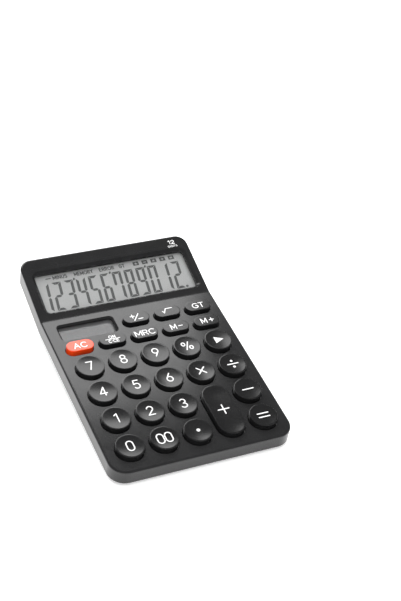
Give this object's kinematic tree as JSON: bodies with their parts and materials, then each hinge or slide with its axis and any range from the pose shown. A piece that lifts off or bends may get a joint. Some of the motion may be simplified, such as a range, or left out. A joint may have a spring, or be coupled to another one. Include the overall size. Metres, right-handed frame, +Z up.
{
  "type": "desk calculator",
  "caption": "Small desk calculator with a bent housing, dished round keys, oblong function keys, a recessed display and a solar cell, on a wedge-shaped base.",
  "frame": {"origin": "middle of the footprint, on the plane of the feet", "axes": "+X to the user's right, +Y away from the user towards the display, +Z up"},
  "size_m": [0.098, 0.1476, 0.0303],
  "materials": {
    "case_plastic": "satin moulded plastic with a fine spark-eroded grain",
    "key_black": "polished dark plastic with printed legends",
    "key_orange": "polished orange-red plastic with a printed legend",
    "clear_window": "clear acrylic",
    "lcd_glass": "grey-green reflective liquid-crystal glass",
    "holder_plastic": "natural moulded plastic",
    "ribbon_film": "amber film with printed tracks",
    "solar_glass": "dark amorphous silicon behind glass",
    "board_laminate": "green coated laminate",
    "chip_epoxy": "black potting epoxy",
    "mat_silicone": "translucent grey silicone",
    "screw_steel": "zinc-plated steel",
    "foot_rubber": "black moulded rubber",
    "cell_steel": "nickel-plated steel",
    "contact_metal": "nickel-plated spring strip",
    "lead_black": "black insulation",
    "lead_red": "red insulation"
  },
  "bodies": {
    "housing": {"battery_contact_negative": "contact_metal", "battery_contact_positive": "contact_metal", "battery_lead_negative": "lead_black", "battery_lead_positive": "lead_red", "board_screws": "screw_steel", "bottom_case": "case_plastic", "button_cell": "cell_steel", "case_screws": "screw_steel", "chip_cap": "chip_epoxy", "display_window": "clear_window", "key_mat": "mat_silicone", "lcd_holder": "holder_plastic", "lcd_panel": "lcd_glass", "lcd_ribbon": "ribbon_film", "main_board": "board_laminate", "rubber_feet": "foot_rubber", "solar_cell": "solar_glass", "solar_leads": "lead_black", "solar_window": "clear_window", "top_case": "case_plastic"},
    "battery_door": {"battery_cover": "case_plastic"},
    "key_0": {"key_0": "key_black"},
    "key_00": {"key_00": "key_black"},
    "key_1": {"key_1": "key_black"},
    "key_2": {"key_2": "key_black"},
    "key_3": {"key_3": "key_black"},
    "key_4": {"key_4": "key_black"},
    "key_5": {"key_5": "key_black"},
    "key_6": {"key_6": "key_black"},
    "key_7": {"key_7": "key_black"},
    "key_8": {"key_8": "key_black"},
    "key_9": {"key_9": "key_black"},
    "key_all_clear": {"key_all_clear": "key_orange"},
    "key_backspace": {"key_backspace": "key_black"},
    "key_clear": {"key_clear": "key_black"},
    "key_divide": {"key_divide": "key_black"},
    "key_equals": {"key_equals": "key_black"},
    "key_grand_total": {"key_grand_total": "key_black"},
    "key_memory_add": {"key_memory_add": "key_black"},
    "key_memory_recall": {"key_memory_recall": "key_black"},
    "key_memory_subtract": {"key_memory_subtract": "key_black"},
    "key_minus": {"key_minus": "key_black"},
    "key_percent": {"key_percent": "key_black"},
    "key_plus": {"key_plus": "key_black"},
    "key_point": {"key_point": "key_black"},
    "key_root": {"key_root": "key_black"},
    "key_sign": {"key_sign": "key_black"},
    "key_times": {"key_times": "key_black"}
  },
  "joints": [
    {"name": "battery_door_slide", "type": "slide", "parent": "housing", "child": "battery_door", "axis": [0, 1, 0], "range_m": [0, 0.027]},
    {"name": "key_0_press", "type": "slide", "parent": "housing", "child": "key_0", "axis": [0, 0.0872, -0.9962], "range_m": [0, 0.0012], "stiffness_N_per_m": 400, "springref_m": -0.0005, "deforming": ["key_mat"]},
    {"name": "key_00_press", "type": "slide", "parent": "housing", "child": "key_00", "axis": [0, 0.0872, -0.9962], "range_m": [0, 0.0012], "stiffness_N_per_m": 400, "springref_m": -0.0005, "deforming": ["key_mat"]},
    {"name": "key_1_press", "type": "slide", "parent": "housing", "child": "key_1", "axis": [0, 0.0872, -0.9962], "range_m": [0, 0.0012], "stiffness_N_per_m": 400, "springref_m": -0.0005, "deforming": ["key_mat"]},
    {"name": "key_2_press", "type": "slide", "parent": "housing", "child": "key_2", "axis": [0, 0.0872, -0.9962], "range_m": [0, 0.0012], "stiffness_N_per_m": 400, "springref_m": -0.0005, "deforming": ["key_mat"]},
    {"name": "key_3_press", "type": "slide", "parent": "housing", "child": "key_3", "axis": [0, 0.0872, -0.9962], "range_m": [0, 0.0012], "stiffness_N_per_m": 400, "springref_m": -0.0005, "deforming": ["key_mat"]},
    {"name": "key_4_press", "type": "slide", "parent": "housing", "child": "key_4", "axis": [0, 0.0872, -0.9962], "range_m": [0, 0.0012], "stiffness_N_per_m": 400, "springref_m": -0.0005, "deforming": ["key_mat"]},
    {"name": "key_5_press", "type": "slide", "parent": "housing", "child": "key_5", "axis": [0, 0.0872, -0.9962], "range_m": [0, 0.0012], "stiffness_N_per_m": 400, "springref_m": -0.0005, "deforming": ["key_mat"]},
    {"name": "key_6_press", "type": "slide", "parent": "housing", "child": "key_6", "axis": [0, 0.0872, -0.9962], "range_m": [0, 0.0012], "stiffness_N_per_m": 400, "springref_m": -0.0005, "deforming": ["key_mat"]},
    {"name": "key_7_press", "type": "slide", "parent": "housing", "child": "key_7", "axis": [0, 0.0872, -0.9962], "range_m": [0, 0.0012], "stiffness_N_per_m": 400, "springref_m": -0.0005, "deforming": ["key_mat"]},
    {"name": "key_8_press", "type": "slide", "parent": "housing", "child": "key_8", "axis": [0, 0.0872, -0.9962], "range_m": [0, 0.0012], "stiffness_N_per_m": 400, "springref_m": -0.0005, "deforming": ["key_mat"]},
    {"name": "key_9_press", "type": "slide", "parent": "housing", "child": "key_9", "axis": [0, 0.0872, -0.9962], "range_m": [0, 0.0012], "stiffness_N_per_m": 400, "springref_m": -0.0005, "deforming": ["key_mat"]},
    {"name": "key_all_clear_press", "type": "slide", "parent": "housing", "child": "key_all_clear", "axis": [0, 0.0872, -0.9962], "range_m": [0, 0.0012], "stiffness_N_per_m": 400, "springref_m": -0.0005, "deforming": ["key_mat"]},
    {"name": "key_backspace_press", "type": "slide", "parent": "housing", "child": "key_backspace", "axis": [0, 0.0872, -0.9962], "range_m": [0, 0.0012], "stiffness_N_per_m": 400, "springref_m": -0.0005, "deforming": ["key_mat"]},
    {"name": "key_clear_press", "type": "slide", "parent": "housing", "child": "key_clear", "axis": [0, 0.0872, -0.9962], "range_m": [0, 0.0012], "stiffness_N_per_m": 400, "springref_m": -0.0005, "deforming": ["key_mat"]},
    {"name": "key_divide_press", "type": "slide", "parent": "housing", "child": "key_divide", "axis": [0, 0.0872, -0.9962], "range_m": [0, 0.0012], "stiffness_N_per_m": 400, "springref_m": -0.0005, "deforming": ["key_mat"]},
    {"name": "key_equals_press", "type": "slide", "parent": "housing", "child": "key_equals", "axis": [0, 0.0872, -0.9962], "range_m": [0, 0.0012], "stiffness_N_per_m": 400, "springref_m": -0.0005, "deforming": ["key_mat"]},
    {"name": "key_grand_total_press", "type": "slide", "parent": "housing", "child": "key_grand_total", "axis": [0, 0.0872, -0.9962], "range_m": [0, 0.0012], "stiffness_N_per_m": 400, "springref_m": -0.0005, "deforming": ["key_mat"]},
    {"name": "key_memory_add_press", "type": "slide", "parent": "housing", "child": "key_memory_add", "axis": [0, 0.0872, -0.9962], "range_m": [0, 0.0012], "stiffness_N_per_m": 400, "springref_m": -0.0005, "deforming": ["key_mat"]},
    {"name": "key_memory_recall_press", "type": "slide", "parent": "housing", "child": "key_memory_recall", "axis": [0, 0.0872, -0.9962], "range_m": [0, 0.0012], "stiffness_N_per_m": 400, "springref_m": -0.0005, "deforming": ["key_mat"]},
    {"name": "key_memory_subtract_press", "type": "slide", "parent": "housing", "child": "key_memory_subtract", "axis": [0, 0.0872, -0.9962], "range_m": [0, 0.0012], "stiffness_N_per_m": 400, "springref_m": -0.0005, "deforming": ["key_mat"]},
    {"name": "key_minus_press", "type": "slide", "parent": "housing", "child": "key_minus", "axis": [0, 0.0872, -0.9962], "range_m": [0, 0.0012], "stiffness_N_per_m": 400, "springref_m": -0.0005, "deforming": ["key_mat"]},
    {"name": "key_percent_press", "type": "slide", "parent": "housing", "child": "key_percent", "axis": [0, 0.0872, -0.9962], "range_m": [0, 0.0012], "stiffness_N_per_m": 400, "springref_m": -0.0005, "deforming": ["key_mat"]},
    {"name": "key_plus_press", "type": "slide", "parent": "housing", "child": "key_plus", "axis": [0, 0.0872, -0.9962], "range_m": [0, 0.0012], "stiffness_N_per_m": 400, "springref_m": -0.0005, "deforming": ["key_mat"]},
    {"name": "key_point_press", "type": "slide", "parent": "housing", "child": "key_point", "axis": [0, 0.0872, -0.9962], "range_m": [0, 0.0012], "stiffness_N_per_m": 400, "springref_m": -0.0005, "deforming": ["key_mat"]},
    {"name": "key_root_press", "type": "slide", "parent": "housing", "child": "key_root", "axis": [0, 0.0872, -0.9962], "range_m": [0, 0.0012], "stiffness_N_per_m": 400, "springref_m": -0.0005, "deforming": ["key_mat"]},
    {"name": "key_sign_press", "type": "slide", "parent": "housing", "child": "key_sign", "axis": [0, 0.0872, -0.9962], "range_m": [0, 0.0012], "stiffness_N_per_m": 400, "springref_m": -0.0005, "deforming": ["key_mat"]},
    {"name": "key_times_press", "type": "slide", "parent": "housing", "child": "key_times", "axis": [0, 0.0872, -0.9962], "range_m": [0, 0.0012], "stiffness_N_per_m": 400, "springref_m": -0.0005, "deforming": ["key_mat"]}
  ]
}
